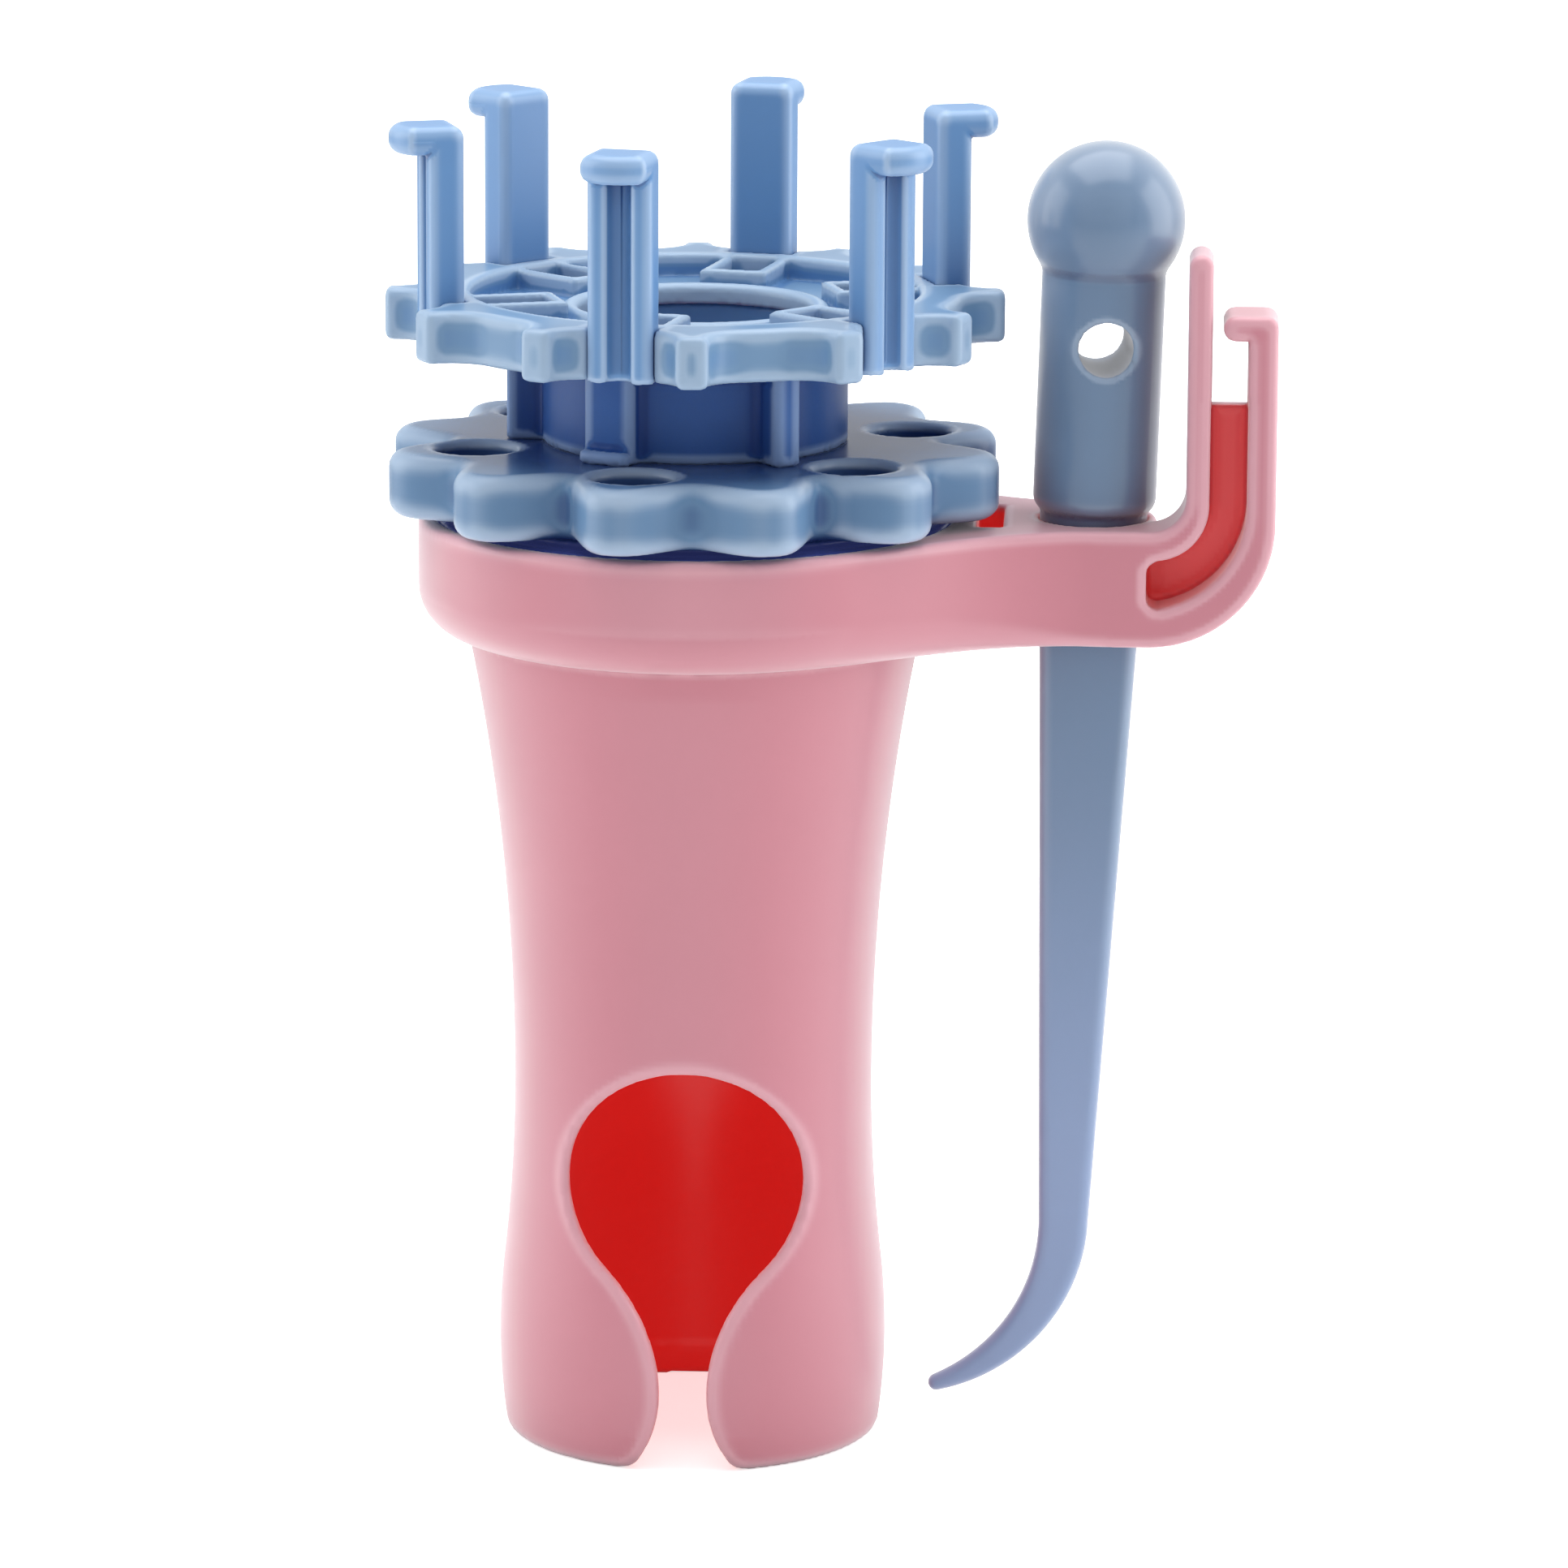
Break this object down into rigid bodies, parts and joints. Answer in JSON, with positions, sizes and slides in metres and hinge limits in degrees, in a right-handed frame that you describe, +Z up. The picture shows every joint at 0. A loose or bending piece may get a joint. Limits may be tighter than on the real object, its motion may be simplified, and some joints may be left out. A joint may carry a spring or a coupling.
{
  "type": "knitting nancy",
  "caption": "Hand-held French knitter: waisted grip with a keyhole cord window, a turning head of hooked pegs on a lobed dial, a side arm with a yarn guide and a hanging hooked pick.",
  "frame": {"origin": "on the handle's axis, in the plane of the base rim, at the mouth of the base socket", "axes": "+Z up along the handle, +X along the side arm, -Y towards the cord window"},
  "size_m": [0.0809, 0.0562, 0.1226],
  "materials": {
    "pink_plastic": "satin moulded plastic, soft pink, deeper red where light is caught inside",
    "blue_plastic": "glossy translucent light blue moulded plastic",
    "hub_plastic": "glossy blue moulded plastic",
    "pick_plastic": "satin grey-blue moulded plastic"
  },
  "bodies": {
    "handle": {"grip": "pink_plastic", "collar_arm": "pink_plastic"},
    "head": {"dial": "blue_plastic", "hub": "hub_plastic", "crown": "blue_plastic", "peg_1": "blue_plastic", "peg_2": "blue_plastic", "peg_3": "blue_plastic", "peg_4": "blue_plastic", "peg_5": "blue_plastic", "peg_6": "blue_plastic"},
    "pick": {"pick": "pick_plastic"}
  },
  "joints": [
    {"name": "head_spin", "type": "hinge", "parent": "handle", "child": "head", "pos_m": [0, 0, 0.0862], "axis": [0, 0, 1], "continuous": true},
    {"name": "pick_lift", "type": "slide", "parent": "handle", "child": "pick", "axis": [0.0297, 0, 0.9996], "range_m": [0, 0.06]}
  ]
}
